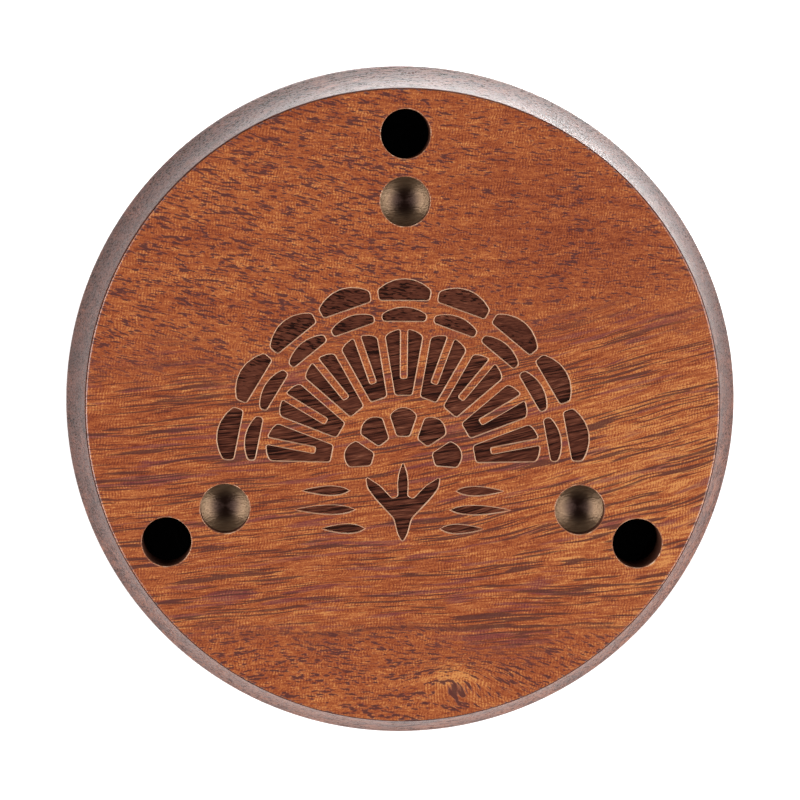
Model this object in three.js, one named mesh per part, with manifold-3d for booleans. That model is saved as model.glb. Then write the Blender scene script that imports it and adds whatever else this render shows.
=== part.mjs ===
// A pot-style friction turkey call: a turned wooden pot that holds a playing surface over a smaller sound board.
// It lies on its rim with its underside up. Millimetres, +Z up, origin at the centre of the rim's plane, and +Y
// through the first sound port.

import * as THREE from 'three';
import { mergeVertices } from 'three/addons/utils/BufferGeometryUtils.js';
import Module from 'manifold-3d';

const wasm = await Module();
wasm.setup();

// Outside of the pot
const POT_HEIGHT = 22;
const POT_RADIUS = 48;
const UNDERSIDE_RADIUS = 44.9;
const UNDERSIDE_EDGE_ROUND = 0.4;
const WIDEST_ROUND = 1.2;
const RIM_ROUND = 1;
// The cove from the underside out to the widest circle: how far its wall leans out from upright at each end
const COVE_TOP_LEAN = THREE.MathUtils.degToRad(3);
const COVE_FOOT_LEAN = THREE.MathUtils.degToRad(33);

// Playing surface, a stock 3.5 inch disc, recessed below the rim
const SURFACE_RADIUS = 44.45;
const SURFACE_THICKNESS = 3;
const SURFACE_RECESS = 1;
const SURFACE_SIDE_GAP = 0.3;

// Sound board, a stock 2.75 inch disc, hung from the pedestal
const BOARD_RADIUS = 34.9;
const BOARD_THICKNESS = 2.5;
const BOARD_TO_SURFACE = 3.2;
const DISC_CHAMFER = 0.25;

// Adhesive rings
const GLUE_THICKNESS = 0.6;
const GLUE_MARGIN = 0.3;

// Inside of the pot
const FLOOR_THICKNESS = 7;
const CHAMBER_RADIUS = 42.4;
const PEDESTAL_INNER_RADIUS = 24.2;
const PEDESTAL_OUTER_RADIUS = 28;

// Three radial pairs of holes in the floor: an open sound port, and nearer the centre a blind hole with a
// bowl-shaped bottom
const HOLE_RADIUS = 3.5;
const PAIR_COUNT = 3;
const PORT_RING_RADIUS = 38.5;
const BLIND_RING_RADIUS = 29;
const BLIND_WALL_DEPTH = 2.6;
const BOWL_RADIUS = 5;
const CUTTER_OVERRUN = 1;

// Facets
const POT_SEGMENTS = 96;
const HOLE_SEGMENTS = 32;
const COVE_STEPS = 5;
const BOWL_STEPS = 4;
const ROUND_STEPS = 3;
const MERGE_DISTANCE = 1e-4;

// Heights and radii worked out from the sizes above
const RECESS_RADIUS = SURFACE_RADIUS + SURFACE_SIDE_GAP;
const SURFACE_TOP = SURFACE_RECESS + SURFACE_THICKNESS;
const LEDGE_HEIGHT = SURFACE_TOP + GLUE_THICKNESS;
const BOARD_FOOT = SURFACE_TOP + BOARD_TO_SURFACE;
const BOARD_TOP = BOARD_FOOT + BOARD_THICKNESS;
const PEDESTAL_FOOT = BOARD_TOP + GLUE_THICKNESS;
const CEILING_HEIGHT = POT_HEIGHT - FLOOR_THICKNESS;

// Points on an arc, as [radius, height], both ends included.
function arc(centreRadius, centreHeight, size, startAngle, endAngle, steps) {
  const points = [];
  for (let step = 0; step <= steps; step += 1) {
    const angle = startAngle + ((endAngle - startAngle) * step) / steps;
    points.push([centreRadius + size * Math.cos(angle), centreHeight + size * Math.sin(angle)]);
  }
  return points;
}

// The cove from its foot beside the widest circle up to the underside's rounded edge. The wall is hollow, so the
// arc's centre lies outside the pot.
function coveProfile() {
  const footRadius = POT_RADIUS - WIDEST_ROUND * (1 - Math.cos(COVE_FOOT_LEAN));
  const size = (footRadius - UNDERSIDE_RADIUS) / (Math.cos(COVE_TOP_LEAN) - Math.cos(COVE_FOOT_LEAN));
  const centreRadius = UNDERSIDE_RADIUS + size * Math.cos(COVE_TOP_LEAN);
  const centreHeight = POT_HEIGHT - UNDERSIDE_EDGE_ROUND + size * Math.sin(COVE_TOP_LEAN);
  return arc(centreRadius, centreHeight, size, Math.PI + COVE_FOOT_LEAN, Math.PI + COVE_TOP_LEAN, COVE_STEPS);
}

// A closed solid turned about an upright axis at x, y, from [radius, height] points that run anticlockwise round
// its section.
function turned(profile, segments, x = 0, y = 0) {
  const points = profile.map(([radius, height]) => new THREE.Vector2(radius, height));
  const geometry = new THREE.LatheGeometry(points, segments);
  geometry.rotateX(Math.PI / 2);
  geometry.translate(x, y, 0);
  return solid(geometry);
}

// A three.js geometry as a manifold-3d solid, without the slivers that a turned shape has on its axis.
function solid(geometry) {
  geometry.deleteAttribute('normal');
  geometry.deleteAttribute('uv');
  const merged = mergeVertices(geometry, MERGE_DISTANCE);
  const corners = merged.index.array;
  const kept = [];
  for (let first = 0; first < corners.length; first += 3) {
    const [a, b, c] = corners.slice(first, first + 3);
    if (a !== b && b !== c && c !== a) kept.push(a, b, c);
  }
  const vertProperties = merged.attributes.position.array;
  return new wasm.Manifold(new wasm.Mesh({ numProp: 3, vertProperties, triVerts: new Uint32Array(kept) }));
}

// A named mesh of a solid.
function piece(name, shape, material) {
  const { vertProperties, triVerts } = shape.getMesh();
  const geometry = new THREE.BufferGeometry();
  geometry.setAttribute('position', new THREE.BufferAttribute(vertProperties, 3));
  geometry.setIndex(new THREE.BufferAttribute(triVerts, 1));
  geometry.computeVertexNormals();
  const mesh = new THREE.Mesh(geometry, material);
  mesh.name = name;
  return mesh;
}

// A flat disc with a small chamfer round both edges.
function disc(radius, foot, top) {
  return turned([
    [0, foot],
    [radius - DISC_CHAMFER, foot],
    [radius, foot + DISC_CHAMFER],
    [radius, top - DISC_CHAMFER],
    [radius - DISC_CHAMFER, top],
    [0, top],
  ], POT_SEGMENTS);
}

// A flat ring of square section.
function ring(innerRadius, outerRadius, foot, top) {
  return turned([
    [innerRadius, foot],
    [outerRadius, foot],
    [outerRadius, top],
    [innerRadius, top],
    [innerRadius, foot],
  ], POT_SEGMENTS);
}

// The pot before its holes are drilled: its section runs from the axis along the chamber, round the rim and up
// the outside.
function potBlank() {
  const cove = coveProfile();
  const widestRoundHeight = cove[0][1] - WIDEST_ROUND * Math.sin(COVE_FOOT_LEAN);
  return turned([
    [0, CEILING_HEIGHT],
    [PEDESTAL_INNER_RADIUS, CEILING_HEIGHT],
    [PEDESTAL_INNER_RADIUS, PEDESTAL_FOOT],
    [PEDESTAL_OUTER_RADIUS, PEDESTAL_FOOT],
    [PEDESTAL_OUTER_RADIUS, CEILING_HEIGHT],
    [CHAMBER_RADIUS, CEILING_HEIGHT],
    [CHAMBER_RADIUS, LEDGE_HEIGHT],
    [RECESS_RADIUS, LEDGE_HEIGHT],
    [RECESS_RADIUS, 0],
    ...arc(POT_RADIUS - RIM_ROUND, RIM_ROUND, RIM_ROUND, -Math.PI / 2, 0, ROUND_STEPS),
    ...arc(POT_RADIUS - WIDEST_ROUND, widestRoundHeight, WIDEST_ROUND, 0, COVE_FOOT_LEAN, ROUND_STEPS),
    ...cove.slice(1),
    ...arc(
      UNDERSIDE_RADIUS - UNDERSIDE_EDGE_ROUND, POT_HEIGHT - UNDERSIDE_EDGE_ROUND, UNDERSIDE_EDGE_ROUND,
      0, Math.PI / 2, ROUND_STEPS,
    ).slice(1),
    [0, POT_HEIGHT],
  ], POT_SEGMENTS);
}

// What a drill takes out at one place on a ring of holes, from a bottom that is given as its section up to above
// the underside.
function drilling(ringRadius, pair, bottom) {
  const angle = Math.PI / 2 + (pair * 2 * Math.PI) / PAIR_COUNT;
  const mouth = POT_HEIGHT + CUTTER_OVERRUN;
  const profile = [...bottom, [HOLE_RADIUS, mouth], [0, mouth]];
  return turned(profile, HOLE_SEGMENTS, ringRadius * Math.cos(angle), ringRadius * Math.sin(angle));
}

// The section of a blind hole's bottom, from its deepest point out to the foot of its wall.
function bowlBottom() {
  const wallFoot = POT_HEIGHT - BLIND_WALL_DEPTH;
  const spread = Math.asin(HOLE_RADIUS / BOWL_RADIUS);
  const centreHeight = wallFoot + BOWL_RADIUS * Math.cos(spread);
  return arc(0, centreHeight, BOWL_RADIUS, -Math.PI / 2, -Math.PI / 2 + spread, BOWL_STEPS);
}

function potBody() {
  let pot = potBlank();
  const through = CEILING_HEIGHT - CUTTER_OVERRUN;
  for (let pair = 0; pair < PAIR_COUNT; pair += 1) {
    pot = pot.subtract(drilling(PORT_RING_RADIUS, pair, [[0, through], [HOLE_RADIUS, through]]));
    pot = pot.subtract(drilling(BLIND_RING_RADIUS, pair, bowlBottom()));
  }
  return pot;
}

const wood = new THREE.MeshStandardMaterial({ color: '#a85a2f', roughness: 0.45, metalness: 0 });
const slate = new THREE.MeshStandardMaterial({ color: '#3b3f43', roughness: 0.8, metalness: 0 });
const glass = new THREE.MeshStandardMaterial({ color: '#c4d6cf', roughness: 0.1, metalness: 0 });
const surfaceGlue = new THREE.MeshStandardMaterial({ color: '#cfc7b2', roughness: 0.35, metalness: 0 });
const boardGlue = new THREE.MeshStandardMaterial({ color: '#c9c0a8', roughness: 0.35, metalness: 0 });

const call = new THREE.Group();
call.add(
  piece('pot_body', potBody(), wood),
  piece('playing_surface', disc(SURFACE_RADIUS, SURFACE_RECESS, SURFACE_TOP), slate),
  piece('sound_board', disc(BOARD_RADIUS, BOARD_FOOT, BOARD_TOP), glass),
  piece(
    'playing_surface_glue',
    ring(CHAMBER_RADIUS + GLUE_MARGIN, SURFACE_RADIUS - GLUE_MARGIN, SURFACE_TOP, LEDGE_HEIGHT),
    surfaceGlue,
  ),
  piece(
    'sound_board_glue',
    ring(PEDESTAL_INNER_RADIUS + GLUE_MARGIN, PEDESTAL_OUTER_RADIUS - GLUE_MARGIN, BOARD_TOP, PEDESTAL_FOOT),
    boardGlue,
  ),
);

export default call;
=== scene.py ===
"""A pot turkey call that lies on its rim with its underside up. Metres, +Z up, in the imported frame."""

import math

import bmesh
import bpy
from mathutils import Matrix, Vector, noise


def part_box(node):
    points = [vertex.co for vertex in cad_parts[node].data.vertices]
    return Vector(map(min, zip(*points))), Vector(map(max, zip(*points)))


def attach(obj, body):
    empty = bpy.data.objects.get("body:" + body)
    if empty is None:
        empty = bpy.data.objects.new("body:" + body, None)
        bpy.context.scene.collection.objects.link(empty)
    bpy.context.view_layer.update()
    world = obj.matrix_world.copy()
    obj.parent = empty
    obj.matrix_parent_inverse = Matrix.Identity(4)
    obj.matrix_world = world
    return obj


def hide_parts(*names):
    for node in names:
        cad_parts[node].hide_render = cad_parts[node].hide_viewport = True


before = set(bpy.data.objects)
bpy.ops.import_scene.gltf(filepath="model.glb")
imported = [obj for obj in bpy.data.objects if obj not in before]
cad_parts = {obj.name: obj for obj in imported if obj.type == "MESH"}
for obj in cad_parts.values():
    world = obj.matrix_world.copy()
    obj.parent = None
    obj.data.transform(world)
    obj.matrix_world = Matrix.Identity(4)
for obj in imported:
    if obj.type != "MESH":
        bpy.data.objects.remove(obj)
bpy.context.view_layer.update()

MM = 0.001
POT_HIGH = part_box("pot_body")[1]
SURFACE_LOW, SURFACE_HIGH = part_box("playing_surface")
BOARD_LOW, BOARD_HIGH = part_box("sound_board")
SURFACE_GLUE_LOW, SURFACE_GLUE_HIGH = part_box("playing_surface_glue")
BOARD_GLUE_LOW, BOARD_GLUE_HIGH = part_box("sound_board_glue")

# Outside of the pot
POT_RADIUS = POT_HIGH.x
UNDERSIDE = POT_HIGH.z
UNDERSIDE_RADIUS = 44.9 * MM
UNDERSIDE_EDGE_ROUND = 0.4 * MM
WIDEST_ROUND = 1.2 * MM
RIM_ROUND = 1.0 * MM
COVE_TOP_LEAN = math.radians(3)
COVE_FOOT_LEAN = math.radians(33)

# Inside of the pot
SURFACE_SIDE_GAP = 0.3 * MM
RECESS_RADIUS = SURFACE_HIGH.x + SURFACE_SIDE_GAP
LEDGE_HEIGHT = SURFACE_GLUE_HIGH.z
CHAMBER_RADIUS = 42.4 * MM
CHAMBER_CORNER = 0.35 * MM
PEDESTAL_INNER_RADIUS = 24.2 * MM
PEDESTAL_OUTER_RADIUS = 28.0 * MM
PEDESTAL_FOOT = BOARD_GLUE_HIGH.z
CEILING = UNDERSIDE - 7.0 * MM
INSIDE_EDGE_ROUND = 0.2 * MM

# Holes in the underside, in three radial pairs
HOLE_RADIUS = 3.5 * MM
PAIR_COUNT = 3
PORT_RING_RADIUS = 38.5 * MM
BLIND_RING_RADIUS = 29.0 * MM
BLIND_WALL_DEPTH = 2.6 * MM
BOWL_RADIUS = 5.0 * MM
LIP_WIDTH = 0.18 * MM
LIP_DEPTH = 0.16 * MM
CUTTER_OVERRUN = 1.0 * MM

# Engraving. Its walls lean out by the slope between its floor and the underside.
ENGRAVING_DEPTH = 0.35 * MM
ENGRAVING_SLOPE = 0.14 * MM
ENGRAVING_CORNER = 0.4 * MM
ENGRAVING_OVERRUN = 0.1 * MM
FEATHER_HALF_GAP = 0.62 * MM
FEATHER_HALF_SLIT = 0.55 * MM

# Discs and glue
SLATE_EDGE_ROUND = 0.25 * MM
GLASS_EDGE_ROUND = 0.3 * MM
GLUE_MARGIN = 0.3 * MM

# The underside's rounded edge is drawn in steps, counted up from the wall. It is painted dark as shade up
# to one of them, and its finish is rubbed bright from there up to the next.
EDGE_ROUND_STEPS = 10
DARK_EDGE_STEPS = 6
RUBBED_EDGE_STEPS = 9

# Facets
TURNED_SEGMENTS = 288
HOLE_SEGMENTS = 96
ON_AXIS = 1e-6 * MM
COVE_STEPS = 24
WIDEST_STEPS = 8
RIM_STEPS = 10
ROUND_STEPS = 6
BOWL_STEPS = 20
BEAD_STEPS = 8
LONGEST_BAND_STEP = 1.5 * MM
LONGEST_HOLE_STEP = 1.0 * MM
UNDERSIDE_RINGS = (43.5, 36, 28, 20, 12, 5, 0)
SHARP_ANGLE = math.radians(30)

# The pot's material slots, which its cutters share: the underside, its edge painted dark as shade, the
# wall, unlacquered wood, the engraving's floor and walls, the lips of the holes, the bowls and the
# underside's rubbed corner
FACE, EDGE, SIDE, BARE, BURNT, SINGED, LIP, BOWL, RUBBED = range(9)


# ---------------------------------------------------------------- meshes

def arc(centre_radius, centre_height, size, start, end, steps):
    """Points on an arc, as (radius, height), both ends included."""
    angles = [start + (end - start) * step / steps for step in range(steps + 1)]
    return [(centre_radius + size * math.cos(a), centre_height + size * math.sin(a)) for a in angles]


def steps_between(start, end, longest):
    """Points on a straight stretch of a section, without its first point, no further apart than longest."""
    count = max(1, math.ceil(math.dist(start, end) / longest))
    return [tuple(a + (b - a) * step / count for a, b in zip(start, end)) for step in range(1, count + 1)]


def add_turned(mesh, section, segments, centre=(0.0, 0.0), wobble=None):
    """Turns a section of (radius, height, slot) points about an upright axis and adds it to a bmesh.

    The points run anticlockwise round the section. A point's slot is the material of the span that ends
    there, and wobble(angle, height) is added to a radius.
    """
    rings = []
    for radius, height, _ in section:
        ring = []
        on_axis = radius < ON_AXIS
        for segment in range(1 if on_axis else segments):
            angle = 2 * math.pi * segment / segments
            reach = radius + (0.0 if on_axis or not wobble else wobble(angle, height))
            x = centre[0] + reach * math.cos(angle)
            y = centre[1] + reach * math.sin(angle)
            ring.append(mesh.verts.new((x, y, height)))
        rings.append(ring)
    for lower, upper, (_, _, slot) in zip(rings, rings[1:], section[1:]):
        for segment in range(segments):
            following = segment + 1
            corners = [
                lower[segment % len(lower)], lower[following % len(lower)],
                upper[following % len(upper)], upper[segment % len(upper)],
            ]
            face = mesh.faces.new(list(dict.fromkeys(corners)))
            face.material_index = slot


def with_slot(points, slot):
    """A section's points, all in one material slot."""
    return [(radius, height, slot) for radius, height in points]


def new_object(name, mesh, materials):
    """An object from a bmesh, smooth but for its sharp edges. The bmesh is freed."""
    data = bpy.data.meshes.new(name)
    mesh.to_mesh(data)
    mesh.free()
    for material in materials:
        data.materials.append(material)
    data.shade_smooth()
    data.set_sharp_from_angle(angle=SHARP_ANGLE)
    made = bpy.data.objects.new(name, data)
    bpy.context.scene.collection.objects.link(made)
    return made


def cut(blank, cutter):
    """Takes cutter out of blank and removes the cutter. Cut faces keep the cutter's material slots."""
    modifier = blank.modifiers.new("cut", "BOOLEAN")
    modifier.operation = "DIFFERENCE"
    modifier.solver = "EXACT"
    modifier.material_mode = "INDEX"
    modifier.object = cutter
    result = bpy.data.meshes.new_from_object(blank.evaluated_get(bpy.context.evaluated_depsgraph_get()))
    blank.modifiers.remove(modifier)
    old, blank.data = blank.data, result
    bpy.data.meshes.remove(old)
    bpy.data.objects.remove(cutter)


# ---------------------------------------------------------------- material nodes

class Shading:
    """A material's node tree. Most calls add nodes and return the socket that they give.

    x, y and z are the object's own coordinates in millimetres.
    """

    def __init__(self, name):
        self.material = bpy.data.materials.new(name)
        self.material.use_nodes = True
        self.tree = self.material.node_tree
        self.surface = self.tree.nodes["Principled BSDF"]
        place = self.node("ShaderNodeTexCoord").outputs["Object"]
        scaled = self.node("ShaderNodeVectorMath", operation="SCALE")
        self.put(scaled.inputs[0], place)
        scaled.inputs["Scale"].default_value = 1 / MM
        self.place = scaled.outputs[0]
        split = self.node("ShaderNodeSeparateXYZ")
        self.put(split.inputs[0], self.place)
        self.x, self.y, self.z = split.outputs

    def node(self, kind, **settings):
        """A new node with those settings."""
        made = self.tree.nodes.new(kind)
        for key, value in settings.items():
            setattr(made, key, value)
        return made

    def put(self, socket, value):
        """Links a socket's value in, or sets it where the value is a number or a colour."""
        if isinstance(value, bpy.types.NodeSocket):
            self.tree.links.new(value, socket)
        else:
            socket.default_value = value

    def math(self, operation, *values):
        """One arithmetic step on sockets or numbers."""
        made = self.node("ShaderNodeMath", operation=operation)
        for socket, value in zip(made.inputs, values):
            self.put(socket, value)
        return made.outputs[0]

    def add(self, *values):
        """The sum of all the values."""
        total = values[0]
        for value in values[1:]:
            total = self.math("ADD", total, value)
        return total

    def times(self, a, b):
        """The product of two values."""
        return self.math("MULTIPLY", a, b)

    def hill(self, x, y, centre, size):
        """1 at a centre, falling to 0 over about an ellipse of that size."""
        across = self.math("DIVIDE", self.math("SUBTRACT", x, centre[0]), size[0])
        along = self.math("DIVIDE", self.math("SUBTRACT", y, centre[1]), size[1])
        reach = self.add(self.math("POWER", self.math("ABSOLUTE", across), 2.0),
                         self.math("POWER", self.math("ABSOLUTE", along), 2.0))
        return self.math("EXPONENT", self.times(reach, -1.0))

    def step(self, value, low, high):
        """0 below low, 1 above high and smooth between them. Falls instead where low is above high."""
        made = self.node("ShaderNodeMapRange", interpolation_type="SMOOTHSTEP")
        ends = (low, high, 0.0, 1.0) if low < high else (high, low, 1.0, 0.0)
        self.put(made.inputs["Value"], value)
        for name, end in zip(("From Min", "From Max", "To Min", "To Max"), ends):
            made.inputs[name].default_value = end
        return made.outputs[0]

    def mix(self, share, a, b):
        """a where share is 0 and b where it is 1."""
        made = self.node("ShaderNodeMix", data_type="FLOAT")
        for socket, value in zip(made.inputs[:1] + made.inputs[2:4], (share, a, b)):
            self.put(socket, value)
        return made.outputs[0]

    def colour_mix(self, share, a, b):
        """The same for colours."""
        made = self.node("ShaderNodeMix", data_type="RGBA")
        for socket, value in zip(made.inputs[:1] + made.inputs[6:8], (share, a, b)):
            self.put(socket, value)
        return made.outputs[2]

    def vector(self, x, y, z):
        """Three values as one place."""
        made = self.node("ShaderNodeCombineXYZ")
        for socket, value in zip(made.inputs, (x, y, z)):
            self.put(socket, value)
        return made.outputs[0]

    def stretched(self, along, across, up):
        """The object's place in cells of that size along X, Y and Z, in millimetres."""
        return self.vector(*(self.times(axis, 1 / size) for axis, size in zip(
            (self.x, self.y, self.z), (along, across, up))))

    def noise(self, place, detail=2.0, roughness=0.5):
        """Noise about 0, mostly within -0.5 and 0.5, with cells of size 1."""
        made = self.node("ShaderNodeTexNoise")
        self.put(made.inputs["Vector"], place)
        for name, value in (("Scale", 1.0), ("Detail", detail), ("Roughness", roughness)):
            made.inputs[name].default_value = value
        return self.math("SUBTRACT", made.outputs["Fac"], 0.5)

    def ramp(self, share, stops):
        """A colour from stops of (place, sRGB colour of 0 to 255)."""
        made = self.node("ShaderNodeValToRGB")
        self.put(made.inputs[0], share)
        elements = made.color_ramp.elements
        while len(elements) < len(stops):
            elements.new(0.5)
        for element, (place, shade) in zip(elements, stops):
            element.position = place
            element.color = colour(*shade)
        return made.outputs["Color"]

    def bump(self, height, depth):
        """Sets the surface's bumps from a height of 0 to 1 that stands for that depth in metres."""
        made = self.node("ShaderNodeBump")
        made.inputs["Distance"].default_value = depth
        self.put(made.inputs["Height"], height)
        self.put(self.surface.inputs["Normal"], made.outputs[0])


def colour(red, green, blue):
    """An sRGB colour of 0 to 255 as the linear colour that Blender takes."""
    shares = [channel / 255 for channel in (red, green, blue)]
    linear = [s / 12.92 if s <= 0.04045 else ((s + 0.055) / 1.055) ** 2.4 for s in shares]
    return (*linear, 1.0)


# ---------------------------------------------------------------- wood

RUSSET_TO_OCHRE = (
    (0.0, (90, 34, 19)), (0.25, (120, 52, 28)), (0.5, (146, 71, 36)), (0.75, (171, 94, 49)),
    (1.0, (204, 134, 74)),
)
LINE_BROWN = (74, 28, 20)
STREAK_PURPLE = (98, 46, 60)
# Painted shade in the flattest middle of the bowls
BOWL_SHADE_BROWN = (58, 30, 18)

# Places and spacings in the wood, in millimetres
SWIRL_CENTRE = (7.4, -38.4)
SWIRL_SIZE = (3.6, 1.9)
PARTING_SIZE = (6.5, 2.6)
NICK_CENTRE = (-18.2, 40.9)
NICK_SIZE = (0.75, 0.22)
RIPPLE_SPACING = 0.42
FACE_GRIT = 0.17
WALL_GRIT = 0.28
# Lighter and darker areas of the underside, as centre, size and how much lighter they are
AREAS = (((35.0, -8.0), (15.0, 26.0), 0.18), ((26.0, 22.0), (15.0, 14.0), -0.17))

WALL_LACQUER = 0.42
# The burnished fibres in the bowls glint in the wood's own colour, like metal more than like varnish.
BOWL_CHATOYANCE = 0.72


class Figure:
    """The parts of the wood's figure, each as a socket."""

    def __init__(self, wood):
        x, y, z = wood.x, wood.y, wood.z
        squared = wood.times(x, x)
        waves = wood.noise(wood.stretched(24, 10, 14))
        self.swirl = wood.hill(x, y, SWIRL_CENTRE, SWIRL_SIZE)
        parting = wood.times(wood.hill(x, y, SWIRL_CENTRE, PARTING_SIZE), -3.0)
        warp = wood.add(wood.times(waves, 2.2), parting)
        self.along = wood.add(x, wood.times(y, 0.12))

        def across(slope, curve):
            """How far a place lies across grain that rises to the right with that slope and curve."""
            rise = wood.add(wood.times(x, slope), wood.times(squared, curve))
            return wood.add(wood.math("SUBTRACT", y, rise), warp)

        # Through the middle the grain rises to the right, less so nearer the front, and its pores show as
        # long lines. Beyond and before that zone the fibres run out of the surface and show as dashes.
        self.across = wood.mix(wood.step(y, -32.0, -6.0), across(0.06, -0.0008), across(0.18, 0.0014))
        bent = wood.mix(wood.step(y, -4.0, 4.0), across(-0.05, -0.0030), across(-0.06, 0.0012))
        drift = wood.noise(wood.stretched(14, 14, 1), 1.0)
        far = wood.step(wood.add(y, wood.times(drift, 20.0), wood.times(x, -0.10)), 4.0, 16.0)
        near = wood.step(wood.add(y, wood.times(drift, 12.0)), -30.0, -36.0)
        short = wood.math("MAXIMUM", far, near)

        def lines(length, width, detail=1.0):
            """Noise drawn out along the long lines' grain."""
            return wood.noise(self.cell(wood, self.across, length, width), detail)

        def dashes(length, width, detail=1.0):
            """Noise drawn out along the dashes' grain."""
            return wood.noise(self.cell(wood, bent, length, width), detail)

        across_patches = wood.add(x, wood.times(y, -0.55))
        patch_place = wood.vector(wood.times(across_patches, 1 / 2.6), wood.times(y, 1 / 4.0), z)
        patches = wood.noise(patch_place, 2.0)

        # The dashes lean a little across the grain and are fewer at the far right
        slanted = wood.add(bent, wood.times(x, 0.06))
        sparse = wood.times(wood.step(wood.add(x, wood.times(drift, 16.0)), -8.0, 14.0), -0.05)
        dash_noise = wood.add(
            wood.noise(self.cell(wood, slanted, 1.15, 0.26), 1.0), wood.times(dashes(6.0, 1.1), 0.30),
            wood.times(patches, 0.12), wood.times(sparse, wood.step(y, -5.0, 5.0)),
        )
        line_noise = wood.add(lines(8.0, 0.28), wood.times(lines(20.0, 2.2), 0.5))
        wide_noise = wood.add(
            lines(10.0, 0.65, 1.5), wood.times(lines(26.0, 3.0), 0.5), wood.times(patches, 0.15),
        )
        self.pores = wood.mix(short, wood.step(line_noise, 0.07, 0.12), wood.step(dash_noise, 0.07, 0.13))
        self.streaks = wood.mix(short, wood.step(wide_noise, 0.06, 0.16), wood.step(dash_noise, 0.02, 0.13))
        self.bands = wood.add(
            wood.times(wood.mix(short, lines(30.0, 4.4), dashes(30.0, 4.4)), 0.28),
            wood.times(wood.mix(short, lines(8.0, 0.7), dashes(4.0, 0.7)), 0.50),
        )
        self.fibres = wood.mix(short, lines(2.0, 0.16), wood.times(dashes(0.9, 0.16), 0.75))

        # Fine ripple marks stand across the grain, in broken rows
        leaning = wood.add(self.along, wood.times(self.across, -0.22))
        phase = wood.add(
            wood.times(leaning, 2 * math.pi / RIPPLE_SPACING), wood.times(lines(2.4, 1.1), 13.0),
        )
        self.ripple = wood.times(wood.math("SINE", phase), wood.step(lines(2.4, 0.7), -0.10, 0.10))
        self.grit = wood.noise(wood.stretched(FACE_GRIT, FACE_GRIT, FACE_GRIT), 1.0)

    def cell(self, wood, across, length, width):
        """A place in the grain, in cells of that length and width."""
        return wood.vector(
            wood.times(self.along, 1 / length),
            wood.times(across, 1 / width),
            wood.times(wood.z, 1 / width),
        )


def shade_wood(wood, figure, brightness):
    """The colour of the wood: russet to ochre, with brown pores, purplish streaks and fine ripple marks."""
    areas = [wood.times(wood.hill(wood.x, wood.y, centre, size), lift) for centre, size, lift in AREAS]
    glow = wood.add(wood.times(figure.swirl, 0.35), *areas)
    fine = wood.add(
        wood.times(figure.fibres, 1.1), wood.times(figure.ripple, 0.155), wood.times(figure.grit, 0.9),
    )
    tone = wood.add(brightness, wood.add(figure.bands, fine), glow)
    body = wood.ramp(tone, RUSSET_TO_OCHRE)
    body = wood.colour_mix(wood.times(figure.streaks, 0.52), body, colour(*STREAK_PURPLE))
    nick = wood.step(wood.hill(wood.x, wood.y, NICK_CENTRE, NICK_SIZE), 0.3, 0.6)
    marks = wood.math("MAXIMUM", wood.times(figure.pores, 0.84), nick)
    return wood.colour_mix(marks, body, colour(*LINE_BROWN))


def wood_face():
    """Reddish-brown pored hardwood under satin lacquer."""
    wood = Shading("wood_face")
    figure = Figure(wood)
    wood.put(wood.surface.inputs["Base Color"], shade_wood(wood, figure, 0.59))
    wood.put(wood.surface.inputs["Roughness"],
             wood.add(0.40, wood.times(figure.pores, 0.15), wood.times(figure.fibres, 0.2)))
    wood.surface.inputs["Specular IOR Level"].default_value = 0.35
    wood.bump(wood.add(wood.times(figure.pores, -0.8), wood.times(figure.ripple, 0.12),
                       wood.times(figure.fibres, 0.4)), 0.03 * MM)
    return wood


def rubbed_edge():
    """The corner of the underside, where handling has polished the lacquer in patches."""
    wood = Shading("wood_rubbed")
    figure = Figure(wood)
    wood.put(wood.surface.inputs["Base Color"], shade_wood(wood, figure, 0.62))
    wood.put(wood.surface.inputs["Roughness"],
             wood.add(0.24, wood.times(figure.pores, 0.3), wood.times(figure.bands, 0.5)))
    wood.surface.inputs["Specular IOR Level"].default_value = 1.0
    wood.bump(wood.add(wood.times(figure.pores, -0.8), figure.fibres), 0.02 * MM)
    return wood


def darkened(name, stops, roughness, depth):
    """Darkened wood with its figure showing through: burnt by a tool, and painted dark as shade at the
    underside's edge.
    """
    wood = Shading(name)
    figure = Figure(wood)
    tone = wood.add(0.55, wood.times(figure.bands, 0.9), wood.times(figure.fibres, 1.2),
                    wood.times(figure.pores, -0.4), wood.times(figure.streaks, -0.15))
    wood.put(wood.surface.inputs["Base Color"], wood.ramp(tone, stops))
    wood.put(wood.surface.inputs["Roughness"], wood.add(roughness, wood.times(figure.fibres, 0.2)))
    wood.surface.inputs["Specular IOR Level"].default_value = 0.05
    wood.bump(wood.add(wood.times(figure.fibres, 0.8), wood.times(figure.pores, -0.6)), depth)
    return wood


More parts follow.
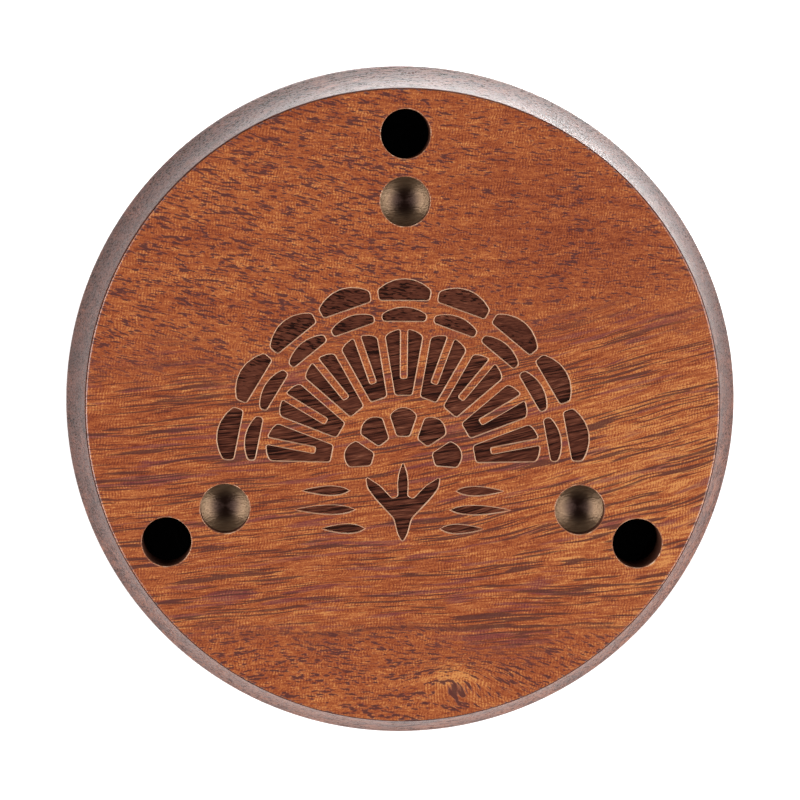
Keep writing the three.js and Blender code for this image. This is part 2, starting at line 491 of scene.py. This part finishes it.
def wood_side():
    """The wall, darker than the underside, with the fine tool marks of the turning under its lacquer."""
    wood = Shading("wood_side")
    figure = Figure(wood)
    surface = wood.surface.inputs
    fibres = wood.noise(figure.cell(wood, figure.across, 2.6, 0.28), 2.0, 0.6)
    blotches = wood.noise(figure.cell(wood, figure.across, 7.0, 2.2), 2.0)
    grit = wood.noise(wood.stretched(WALL_GRIT, WALL_GRIT, WALL_GRIT), 2.0, 0.7)
    # Painted light: the wall is painted paler towards the near right, as if a fill light fell there
    painted_fill_light = wood.step(wood.add(wood.times(wood.x, 0.3), wood.times(wood.y, -0.95)), -19.0, 43.0)
    tone = wood.add(
        0.36, wood.times(fibres, 1.0), wood.times(blotches, 0.6), wood.times(grit, 0.28),
        wood.times(figure.bands, 0.9), wood.times(figure.pores, -0.28), wood.times(painted_fill_light, 0.34),
    )
    shade = wood.ramp(tone, ((0.0, (40, 18, 12)), (0.5, (92, 46, 30)), (1.0, (158, 90, 56))))
    wood.put(surface["Base Color"], shade)
    wood.put(surface["Roughness"], wood.add(0.34, wood.times(fibres, 0.5), wood.times(grit, 0.3)))
    surface["Specular IOR Level"].default_value = 0.1
    # The lacquer has sunk into the open grain, and shines on the rest
    closed_grain = wood.add(wood.times(grit, 1.6), fibres, wood.times(figure.pores, -0.3))
    wood.put(surface["Coat Weight"], wood.times(wood.step(closed_grain, -0.40, 0.10), WALL_LACQUER))
    surface["Coat Roughness"].default_value = 0.32
    surface["Coat IOR"].default_value = 1.7
    marks = wood.add(wood.times(fibres, 0.7), wood.times(grit, 0.6), wood.times(figure.pores, -0.4))
    wood.bump(marks, 0.11 * MM)
    return wood


def bare_wood(name, stops, roughness=0.62):
    """Unlacquered wood as the cutter left it."""
    wood = Shading(name)
    figure = Figure(wood)
    fibres = wood.noise(figure.cell(wood, figure.across, 1.6, 0.22), 3.0)
    blotch = wood.noise(figure.cell(wood, figure.across, 6.0, 2.0), 2.0)
    tone = wood.add(0.5, wood.times(fibres, 1.0), wood.times(blotch, 0.5))
    wood.put(wood.surface.inputs["Base Color"], wood.ramp(tone, stops))
    wood.put(wood.surface.inputs["Roughness"], wood.add(roughness, wood.times(fibres, 0.3)))
    wood.bump(fibres, 0.05 * MM)
    return wood


def bowl_wood():
    """Wood that the cutter burnished in rings, painted dark as shade where the bowl is flattest."""
    stops = ((0.0, (112, 84, 60)), (0.5, (150, 120, 92)), (1.0, (184, 154, 122)))
    wood = bare_wood("wood_bowl", stops, 0.37)
    surface = wood.surface.inputs
    surface["Metallic"].default_value = BOWL_CHATOYANCE
    surface["Specular IOR Level"].default_value = 1.0
    surface["Anisotropic"].default_value = 0.6
    normal = wood.node("ShaderNodeNewGeometry").outputs["Normal"]
    outward = wood.node("ShaderNodeVectorMath", operation="MULTIPLY")
    wood.put(outward.inputs[0], normal)
    outward.inputs[1].default_value = (1.0, 1.0, 0.0)
    wood.put(surface["Tangent"], outward.outputs[0])
    parts = wood.node("ShaderNodeSeparateXYZ")
    wood.put(parts.inputs[0], normal)
    # Painted shade: each bowl is painted dark where it is flattest
    painted_bowl_shade = wood.step(parts.outputs["Z"], 0.84, 0.995)
    bare = surface["Base Color"].links[0].from_socket
    wood.put(surface["Base Color"], wood.colour_mix(painted_bowl_shade, bare, colour(*BOWL_SHADE_BROWN)))
    return wood


def pot_materials():
    """One material for each of the pot's slots, in their order."""
    # Colours of the painted shade on the underside's edge
    dark = ((0.0, (40, 18, 11)), (0.5, (74, 36, 24)), (1.0, (112, 62, 42)))
    bare = ((0.0, (46, 22, 13)), (0.5, (78, 40, 24)), (1.0, (122, 72, 46)))
    burnt = ((0.1, (32, 13, 9)), (0.4, (70, 34, 24)), (0.7, (98, 54, 39)), (1.0, (142, 90, 68)))
    singed = ((0.2, (184, 130, 98)), (0.5, (226, 178, 144)), (0.8, (248, 214, 184)))
    frayed = ((0.3, (124, 66, 42)), (0.52, (176, 112, 78)), (0.72, (236, 196, 164)))
    shadings = (
        wood_face(),
        # Painted shade: the underside's edge is painted dark
        darkened("wood_edge", dark, 0.75, 0.02 * MM),
        wood_side(),
        bare_wood("wood_bare", bare),
        darkened("wood_burnt", burnt, 0.6, 0.06 * MM),
        bare_wood("wood_singed", singed),
        bare_wood("wood_lip", frayed),
        bowl_wood(),
        rubbed_edge(),
    )
    return [shading.material for shading in shadings]


# ---------------------------------------------------------------- pot

def pot_section():
    """The pot's section: along the chamber from the axis, round the rim, up the outside and back."""
    foot_radius = POT_RADIUS - WIDEST_ROUND * (1 - math.cos(COVE_FOOT_LEAN))
    cove_size = (foot_radius - UNDERSIDE_RADIUS) / (math.cos(COVE_TOP_LEAN) - math.cos(COVE_FOOT_LEAN))
    cove = arc(
        UNDERSIDE_RADIUS + cove_size * math.cos(COVE_TOP_LEAN),
        UNDERSIDE - UNDERSIDE_EDGE_ROUND + cove_size * math.sin(COVE_TOP_LEAN),
        cove_size, math.pi + COVE_FOOT_LEAN, math.pi + COVE_TOP_LEAN, COVE_STEPS,
    )
    widest_height = cove[0][1] - WIDEST_ROUND * math.sin(COVE_FOOT_LEAN)
    edge = INSIDE_EDGE_ROUND
    inside = [
        (0.0, CEILING),
        (PEDESTAL_INNER_RADIUS, CEILING),
        (PEDESTAL_INNER_RADIUS, PEDESTAL_FOOT + edge),
        (PEDESTAL_INNER_RADIUS + edge, PEDESTAL_FOOT),
        (PEDESTAL_OUTER_RADIUS - edge, PEDESTAL_FOOT),
        (PEDESTAL_OUTER_RADIUS, PEDESTAL_FOOT + edge),
        (PEDESTAL_OUTER_RADIUS, CEILING),
        *arc(
            CHAMBER_RADIUS - CHAMBER_CORNER, CEILING - CHAMBER_CORNER, CHAMBER_CORNER,
            math.pi / 2, 0, ROUND_STEPS,
        ),
        (CHAMBER_RADIUS, LEDGE_HEIGHT + edge),
        (CHAMBER_RADIUS + edge, LEDGE_HEIGHT),
        (RECESS_RADIUS, LEDGE_HEIGHT),
        (RECESS_RADIUS, edge),
        (RECESS_RADIUS + edge, 0.0),
    ]
    widest = arc(POT_RADIUS - WIDEST_ROUND, widest_height, WIDEST_ROUND, 0, COVE_FOOT_LEAN, WIDEST_STEPS)
    rim = arc(POT_RADIUS - RIM_ROUND, RIM_ROUND, RIM_ROUND, -math.pi / 2, 0, RIM_STEPS)
    band = steps_between(rim[-1], widest[0], LONGEST_BAND_STEP)
    top_round = arc(
        UNDERSIDE_RADIUS - UNDERSIDE_EDGE_ROUND, UNDERSIDE - UNDERSIDE_EDGE_ROUND, UNDERSIDE_EDGE_ROUND,
        0, math.pi / 2, EDGE_ROUND_STEPS,
    )
    underside = [(radius * MM, UNDERSIDE) for radius in UNDERSIDE_RINGS]
    return (
        with_slot(inside, BARE)
        + with_slot(rim + band + widest[1:] + cove[1:-2], SIDE)
        # The top of the cove and the lower part of the rounded edge are painted dark as shade
        + with_slot(cove[-2:] + top_round[1:DARK_EDGE_STEPS + 1], EDGE)
        + with_slot(top_round[DARK_EDGE_STEPS + 1:RUBBED_EDGE_STEPS + 1], RUBBED)
        + with_slot(top_round[RUBBED_EDGE_STEPS + 1:] + underside, FACE)
    )


def ring_places(ring_radius):
    """The centres of the holes on a ring, from the one at +Y."""
    angles = [math.pi / 2 + pair * 2 * math.pi / PAIR_COUNT for pair in range(PAIR_COUNT)]
    return [(ring_radius * math.cos(a), ring_radius * math.sin(a)) for a in angles]


def hole_cutter(bottom, slot):
    """The section of a hole's cutter: a bottom, a wall and a lip that opens above the underside."""
    wall_top = UNDERSIDE - LIP_DEPTH
    lip = [
        (HOLE_RADIUS + 0.3 * LIP_WIDTH, UNDERSIDE - 0.35 * LIP_DEPTH),
        (HOLE_RADIUS + LIP_WIDTH, UNDERSIDE + 0.3 * LIP_DEPTH),
    ]
    above = [(HOLE_RADIUS + LIP_WIDTH, UNDERSIDE + CUTTER_OVERRUN), (0.0, UNDERSIDE + CUTTER_OVERRUN)]
    wall = steps_between(bottom[-1], (HOLE_RADIUS, wall_top), LONGEST_HOLE_STEP)
    return with_slot(bottom, slot) + with_slot(wall, BARE) + with_slot(lip + above, LIP)


def ragged(angle, height):
    """How far a hole's lip strays from a true circle."""
    if height < UNDERSIDE - 0.5 * LIP_DEPTH:
        return 0.0
    place = Vector((math.cos(angle), math.sin(angle), 0.3)) * 4.0
    return 0.06 * MM * noise.noise(place) + 0.05 * MM * noise.noise(place * 4.0)


def drill(pot, ring_radius, bottom, slot, materials):
    """Drills one ring of holes."""
    for centre in ring_places(ring_radius):
        mesh = bmesh.new()
        add_turned(mesh, hole_cutter(bottom, slot), HOLE_SEGMENTS, centre, ragged)
        cut(pot, new_object("drill", mesh, materials))


def bowl_bottom():
    """The section of a blind hole's bottom, out to the foot of its wall."""
    spread = math.asin(HOLE_RADIUS / BOWL_RADIUS)
    centre_height = UNDERSIDE - BLIND_WALL_DEPTH + BOWL_RADIUS * math.cos(spread)
    return arc(0.0, centre_height, BOWL_RADIUS, -math.pi / 2, -math.pi / 2 + spread, BOWL_STEPS)


# ---------------------------------------------------------------- engraving

# The engraved design, in millimetres. Feathers are given as how many there are, how wide they spread and,
# for each row of them, the inner and outer radius, the height of the crown and the radius that a slit
# runs in to.
TAIL_PIVOT = -8.6
TAIL_FEATHERS = (
    (9, math.radians(158), ((10.4, 18.8, 0.9, 12.6), (21.0, 21.9, 0.8, None), (24.0, 25.4, 1.3, None))),
    (5, math.radians(150), ((4.6, 7.6, 0.9, None),)),
)
TRACK_CENTRE = -14.9
TRACK_RIGHT_HALF = (
    (0.0, 7.0), (0.5, 5.6), (0.7, 4.1), (0.6, 2.2), (1.5, 1.8),
    (3.3, 3.7), (5.2, 4.9), (5.0, 3.5), (4.0, 2.1),
    (1.2, -0.9), (0.6, -3.2), (0.0, -4.2),
)
# The leaves on each side, as height, start and length
LEAVES = ((-11.9, 7.6, 6.6), (-14.6, 6.8, 8.4), (-17.3, 5.4, 6.0))
LEAF_HALF_WIDTH = 0.62


def rounded(outline, radius):
    """A closed outline with each corner turned into a short curve that starts at most radius from it."""
    curved = []
    for before, corner, after in zip(outline[-1:] + outline[:-1], outline, outline[1:] + outline[:1]):
        inward, outward = before - corner, after - corner
        reach = min(radius, inward.length * 0.45, outward.length * 0.45)
        start = corner + inward.normalized() * reach
        end = corner + outward.normalized() * reach
        for share in (0.0, 0.25, 0.5, 0.75, 1.0):
            curved.append((1 - share) ** 2 * start + 2 * share * (1 - share) * corner + share ** 2 * end)
    return curved


def widened(outline, distance):
    """A closed anticlockwise outline moved outwards by a distance."""
    moved = []
    for before, point, after in zip(outline[-1:] + outline[:-1], outline, outline[1:] + outline[:1]):
        edges = [(point - before).normalized(), (after - point).normalized()]
        normals = [Vector((edge.y, -edge.x)) for edge in edges]
        bisector = (normals[0] + normals[1]).normalized()
        moved.append(point + bisector * distance / max(0.6, bisector.dot(normals[0])))
    return moved


def add_engraved(mesh, outline):
    """Adds one sunk shape to the engraving's cutter: a flat floor of that outline with sloping sides."""
    reach = ENGRAVING_SLOPE * (1 + ENGRAVING_OVERRUN / ENGRAVING_DEPTH)
    floor = [mesh.verts.new((*p, UNDERSIDE - ENGRAVING_DEPTH)) for p in outline]
    top = [mesh.verts.new((*p, UNDERSIDE + ENGRAVING_OVERRUN)) for p in widened(outline, reach)]
    for index in range(len(outline)):
        following = (index + 1) % len(outline)
        side = mesh.faces.new((floor[index], floor[following], top[following], top[index]))
        side.material_index = SINGED
    mesh.faces.new(top).material_index = SINGED
    mesh.faces.new(floor[::-1]).material_index = BURNT


def polar(pivot, radius, angle):
    """The point at that radius and angle from a pivot."""
    return pivot + Vector((math.cos(angle), math.sin(angle))) * radius


def feather(pivot, angle, half_angle, inner, outer, crown, slit=None):
    """A slice of a fan with straight sides and a crowned outer end.

    Where slit is given, a slit runs in along the middle to that radius.
    """
    def edge(radius, side):
        return polar(pivot, radius, angle + side * (half_angle - FEATHER_HALF_GAP / radius))

    def crowned(share):
        height = crown * (1 - share * share)
        return polar(pivot, outer + height, angle + share * (half_angle - FEATHER_HALF_GAP / outer))

    outline = [edge(inner, -1), edge(outer, -1), crowned(-0.7)]
    if slit:
        mouth = outer + crown * 0.9
        outline += [
            polar(pivot, mouth, angle - FEATHER_HALF_SLIT / outer),
            polar(pivot, slit, angle - FEATHER_HALF_SLIT / slit),
            polar(pivot, slit, angle + FEATHER_HALF_SLIT / slit),
            polar(pivot, mouth, angle + FEATHER_HALF_SLIT / outer),
        ]
    else:
        outline += [crowned(share) for share in (-0.35, 0.0, 0.35)]
    outline += [crowned(0.7), edge(outer, 1), edge(inner, 1)]
    return rounded(outline, ENGRAVING_CORNER)


def tail_fan():
    """A turkey's spread tail: small feathers within nine long ones with a slit vane, a bar and a tip."""
    pivot = Vector((0.0, TAIL_PIVOT * MM))
    outlines = []
    for count, spread, rows in TAIL_FEATHERS:
        for index in range(count):
            angle = math.pi / 2 + spread * (index / (count - 1) - 0.5)
            half_angle = spread / (count - 1) / 2
            for row in rows:
                inner, outer, crown, slit = (size and size * MM for size in row)
                outlines.append(feather(pivot, angle, half_angle, inner, outer, crown, slit))
    return outlines


def bird_track(centre):
    """A three-toed footprint with a short toe behind."""
    left_half = [(-x, y) for x, y in TRACK_RIGHT_HALF[-2:0:-1]]
    outline = [centre + Vector(point) * MM for point in list(TRACK_RIGHT_HALF) + left_half]
    return rounded(outline[::-1], ENGRAVING_CORNER)


def leaf(start, length, half_width, side):
    """A slim leaf that points away from the track, thickest near its start."""
    shares = [step / 10 for step in range(11)]
    lower = [Vector((share * length, -half_width * math.sin(math.pi * share ** 0.75))) for share in shares]
    upper = [Vector((point.x, -point.y)) for point in lower[-2:0:-1]]
    outline = [Vector((side * (start[0] + p.x), start[1] + p.y)) for p in lower + upper]
    return outline if side > 0 else outline[::-1]


def engraving_outlines():
    """The whole design: a spread tail over a footprint between leaves. Each outline runs anticlockwise."""
    outlines = tail_fan() + [bird_track(Vector((0.0, TRACK_CENTRE * MM)))]
    for height, start, length in LEAVES:
        for side in (1, -1):
            outlines.append(leaf((start * MM, height * MM), length * MM, LEAF_HALF_WIDTH * MM, side))
    return outlines


def engrave(pot, materials):
    """Sinks the whole design into the underside."""
    mesh = bmesh.new()
    for outline in engraving_outlines():
        add_engraved(mesh, outline)
    cut(pot, new_object("engraver", mesh, materials))


def make_pot():
    """The turned, drilled and engraved pot."""
    materials = pot_materials()
    mesh = bmesh.new()
    add_turned(mesh, pot_section(), TURNED_SEGMENTS)
    pot = new_object("pot", mesh, materials)
    port_bottom = [(0.0, CEILING - CUTTER_OVERRUN), (HOLE_RADIUS, CEILING - CUTTER_OVERRUN)]
    drill(pot, PORT_RING_RADIUS, port_bottom, BARE, materials)
    drill(pot, BLIND_RING_RADIUS, bowl_bottom(), BOWL, materials)
    engrave(pot, materials)
    pot.data.shade_smooth()
    pot.data.set_sharp_from_angle(angle=SHARP_ANGLE)
    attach(pot, "root")
    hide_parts("pot_body")


# ---------------------------------------------------------------- discs and glue

def slate_material():
    """Conditioned slate: dark grey, with faint layers, sanding scratches and chalky bloom."""
    slate = Shading("slate")
    layers = slate.noise(slate.stretched(30, 9, 1), 4.0, 0.6)
    grit = slate.noise(slate.place, 3.0, 0.7)
    across_scratches = slate.add(slate.x, slate.times(slate.y, 0.35))
    scratch_place = slate.vector(slate.times(across_scratches, 1 / 0.12), slate.times(slate.y, 1 / 14), 0.0)
    scratches = slate.step(slate.noise(scratch_place, 2.0), 0.08, 0.22)
    bloom_place = slate.vector(slate.times(slate.x, 1 / 12), slate.times(slate.y, 1 / 12), 0.0)
    bloom = slate.step(slate.noise(bloom_place, 3.0), -0.05, 0.25)
    tone = slate.add(
        0.42, slate.times(layers, 0.5), slate.times(grit, 0.25), slate.times(scratches, 0.18),
        slate.times(bloom, 0.14),
    )
    shade = slate.ramp(tone, ((0.0, (30, 33, 37)), (0.5, (58, 62, 67)), (1.0, (112, 116, 118))))
    slate.put(slate.surface.inputs["Base Color"], shade)
    slate.put(slate.surface.inputs["Roughness"], slate.add(0.72, slate.times(scratches, 0.12)))
    slate.bump(slate.add(slate.times(grit, 0.6), slate.times(scratches, -0.6)), 0.03 * MM)
    return slate.material


def glass_material():
    """Float glass with a faint green body and a wipe of dust."""
    glass = Shading("board_glass")
    dust = glass.noise(glass.place, 4.0, 0.6)
    tint = glass.ramp(glass.add(0.5, dust), ((0.0, (176, 204, 192)), (1.0, (216, 232, 224))))
    glass.put(glass.surface.inputs["Base Color"], tint)
    dusty = glass.step(dust, 0.0, 0.3)
    glass.put(glass.surface.inputs["Roughness"], glass.add(0.10, glass.times(dusty, 0.12)))
    glass.surface.inputs["Transmission Weight"].default_value = 0.85
    glass.surface.inputs["IOR"].default_value = 1.52
    return glass.material


def glue_material():
    """Cured clear adhesive, a little cloudy and yellow."""
    glue = Shading("adhesive")
    cloud = glue.noise(glue.stretched(3, 3, 1), 3.0)
    shade = glue.ramp(glue.add(0.5, cloud), ((0.0, (168, 152, 112)), (1.0, (222, 212, 182))))
    glue.put(glue.surface.inputs["Base Color"], shade)
    glue.put(glue.surface.inputs["Roughness"], glue.add(0.3, glue.times(cloud, 0.2)))
    glue.surface.inputs["Transmission Weight"].default_value = 0.25
    glue.bump(cloud, 0.1 * MM)
    return glue.material


def make_disc(name, node, low, high, edge_round, material):
    """A flat disc with rounded edges, in its CAD node's box."""
    radius = high.x
    section = [
        *[(r * radius, low.z) for r in (0.0, 0.25, 0.5, 0.75)],
        *arc(radius - edge_round, low.z + edge_round, edge_round, -math.pi / 2, 0, ROUND_STEPS),
        *arc(radius - edge_round, high.z - edge_round, edge_round, 0, math.pi / 2, ROUND_STEPS),
        *[(r * radius, high.z) for r in (0.75, 0.5, 0.25, 0.0)],
    ]
    mesh = bmesh.new()
    add_turned(mesh, with_slot(section, 0), TURNED_SEGMENTS)
    disc = new_object(name, mesh, [material])
    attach(disc, "root")
    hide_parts(node)


def make_glue(name, node, low, high, inner_radius, material):
    """A ring of glue squeezed flat between two faces, with a bead that bulges unevenly at each side."""
    bulge = (high.z - low.z) / 2
    middle = (high.z + low.z) / 2
    section = (
        arc(high.x - bulge, middle, bulge, -math.pi / 2, math.pi / 2, BEAD_STEPS)
        + arc(inner_radius + bulge, middle, bulge, math.pi / 2, math.pi * 3 / 2, BEAD_STEPS)
    )
    section.append(section[0])

    def uneven(angle, height):
        """How far the bead falls short of its full width, so that it stays within the CAD ring."""
        place = Vector((math.cos(angle), math.sin(angle), 0.0))
        return -0.12 * MM + 0.1 * MM * noise.noise(place * 6.0) + 0.06 * MM * noise.noise(place * 23.0)

    mesh = bmesh.new()
    add_turned(mesh, with_slot(section, 0), TURNED_SEGMENTS, wobble=uneven)
    bmesh.ops.remove_doubles(mesh, verts=mesh.verts, dist=0.001 * MM)
    bead = new_object(name, mesh, [material])
    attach(bead, "root")
    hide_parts(node)


# ---------------------------------------------------------------- stage

CAMERA_TARGET = Vector((-0.12, 0.09, 11.5)) * MM
CAMERA_DIRECTION = Vector((-0.037, 0.088, 0.995)).normalized()
CAMERA_DISTANCE = 0.55
CAMERA_ROLL = math.radians(0.45)
POT_SHARE_OF_FRAME = 0.8342
SENSOR_WIDTH = 36.0

# Azimuths are from +X towards +Y, in degrees, and elevations are up from the horizon
LEFT_SOFTBOX_AZIMUTH = 186
RIGHT_SOFTBOX_AZIMUTH = -6
SOFTBOX_ELEVATION = 40
SOFTBOX_DISTANCE = 0.75
SOFTBOX_SIZE = (0.66, 0.60)
SOFTBOX_POWER = 5.2

SKY_HORIZON = (0.8, 0.8, 0.8, 1.0)
SKY_OVERHEAD = (0.05, 0.05, 0.05, 1.0)

FLOOR_REACH = 1.6
FLOOR_GLOW = 0.5
FLOOR_SPOT_POWER = 66
FLOOR_SPOT_AZIMUTH = 71
FLOOR_SPOT_ELEVATION = 62
FLOOR_SPOT_CONE = math.radians(13)
FLOOR_SPOT_SOURCE = 0.02
FLOOR_SPOT_DISTANCE = 0.6
FLOOR_SPOT_RADIUS = 0.072


def towards(azimuth, elevation):
    """The direction from the call at that azimuth and elevation."""
    a, e = math.radians(azimuth), math.radians(elevation)
    return Vector((math.cos(a) * math.cos(e), math.sin(a) * math.cos(e), math.sin(e)))


def make_camera():
    """Looks down at the underside, leaning a little towards +Y and -X."""
    data = bpy.data.cameras.new("camera")
    data.sensor_width = SENSOR_WIDTH
    data.lens = SENSOR_WIDTH * POT_SHARE_OF_FRAME * CAMERA_DISTANCE / (2 * POT_RADIUS)
    camera = bpy.data.objects.new("camera", data)
    bpy.context.scene.collection.objects.link(camera)
    back = CAMERA_DIRECTION
    right = Vector((0, 1, 0)).cross(back).normalized()
    turn = Matrix((right, back.cross(right), back)).transposed() @ Matrix.Rotation(CAMERA_ROLL, 3, "Z")
    camera.matrix_world = Matrix.Translation(CAMERA_TARGET + back * CAMERA_DISTANCE) @ turn.to_4x4()
    bpy.context.scene.camera = camera


def softbox(name, azimuth):
    """A rectangular light that faces the call. Its size is its width along the horizon and its height."""
    data = bpy.data.lights.new(name, "AREA")
    data.shape = "RECTANGLE"
    data.size, data.size_y = SOFTBOX_SIZE
    data.energy = SOFTBOX_POWER
    light = bpy.data.objects.new(name, data)
    bpy.context.scene.collection.objects.link(light)
    back = towards(azimuth, SOFTBOX_ELEVATION)
    right = Vector((0, 0, 1)).cross(back).normalized()
    turn = Matrix((right, back.cross(right), back)).transposed()
    light.matrix_world = Matrix.Translation(back * SOFTBOX_DISTANCE) @ turn.to_4x4()


def make_sky():
    """A sky that is dim overhead and pale at the horizon."""
    world = bpy.data.worlds.new("studio")
    world.use_nodes = True
    nodes, links = world.node_tree.nodes, world.node_tree.links
    place = nodes.new("ShaderNodeTexCoord")
    split = nodes.new("ShaderNodeSeparateXYZ")
    sky = nodes.new("ShaderNodeValToRGB")
    for element, position, shade in zip(sky.color_ramp.elements, (0.05, 0.7), (SKY_HORIZON, SKY_OVERHEAD)):
        element.position = position
        element.color = shade
    links.new(place.outputs["Generated"], split.inputs[0])
    links.new(split.outputs["Z"], sky.inputs[0])
    links.new(sky.outputs[0], nodes["Background"].inputs["Color"])
    bpy.context.scene.world = world


def light_floor(floor):
    """A spot that lights nothing but the floor beyond the pot, which the wall on that side reflects."""
    data = bpy.data.lights.new("floor_spot", "SPOT")
    data.energy = FLOOR_SPOT_POWER
    data.spot_size = FLOOR_SPOT_CONE
    data.spot_blend = 1.0
    data.shadow_soft_size = FLOOR_SPOT_SOURCE
    spot = bpy.data.objects.new("floor_spot", data)
    bpy.context.scene.collection.objects.link(spot)
    aim = towards(FLOOR_SPOT_AZIMUTH, 0) * FLOOR_SPOT_RADIUS
    back = towards(FLOOR_SPOT_AZIMUTH, FLOOR_SPOT_ELEVATION)
    spot.location = aim + back * FLOOR_SPOT_DISTANCE
    spot.rotation_euler = (-back).to_track_quat("-Z", "Y").to_euler()
    receivers = bpy.data.collections.new("floor_spot_receivers")
    receivers.objects.link(floor)
    spot.light_linking.receiver_collection = receivers


def make_floor():
    """A pale floor with a fine, barely visible tooth."""
    mesh = bmesh.new()
    bmesh.ops.create_grid(mesh, x_segments=8, y_segments=8, size=FLOOR_REACH)
    paper = Shading("floor_paper")
    tooth = paper.noise(paper.place, 3.0)
    shade = paper.ramp(paper.add(0.5, tooth), ((0.0, (242, 242, 242)), (1.0, (250, 250, 250))))
    paper.put(paper.surface.inputs["Base Color"], shade)
    paper.put(paper.surface.inputs["Emission Color"], shade)
    paper.surface.inputs["Emission Strength"].default_value = FLOOR_GLOW
    paper.surface.inputs["Roughness"].default_value = 0.9
    paper.surface.inputs["Specular IOR Level"].default_value = 0.1
    floor = new_object("floor", mesh, [paper.material])
    light_floor(floor)


bpy.context.scene.view_settings.view_transform = "Standard"
make_camera()
softbox("left_softbox", LEFT_SOFTBOX_AZIMUTH)
softbox("right_softbox", RIGHT_SOFTBOX_AZIMUTH)
make_sky()
make_floor()
make_pot()
make_disc("playing_disc", "playing_surface", SURFACE_LOW, SURFACE_HIGH,
          SLATE_EDGE_ROUND, slate_material())
make_disc("sound_disc", "sound_board", BOARD_LOW, BOARD_HIGH,
          GLASS_EDGE_ROUND, glass_material())
adhesive = glue_material()
make_glue("surface_glue_bead", "playing_surface_glue", SURFACE_GLUE_LOW, SURFACE_GLUE_HIGH,
          CHAMBER_RADIUS + GLUE_MARGIN, adhesive)
make_glue("board_glue_bead", "sound_board_glue", BOARD_GLUE_LOW, BOARD_GLUE_HIGH,
          PEDESTAL_INNER_RADIUS + GLUE_MARGIN, adhesive)
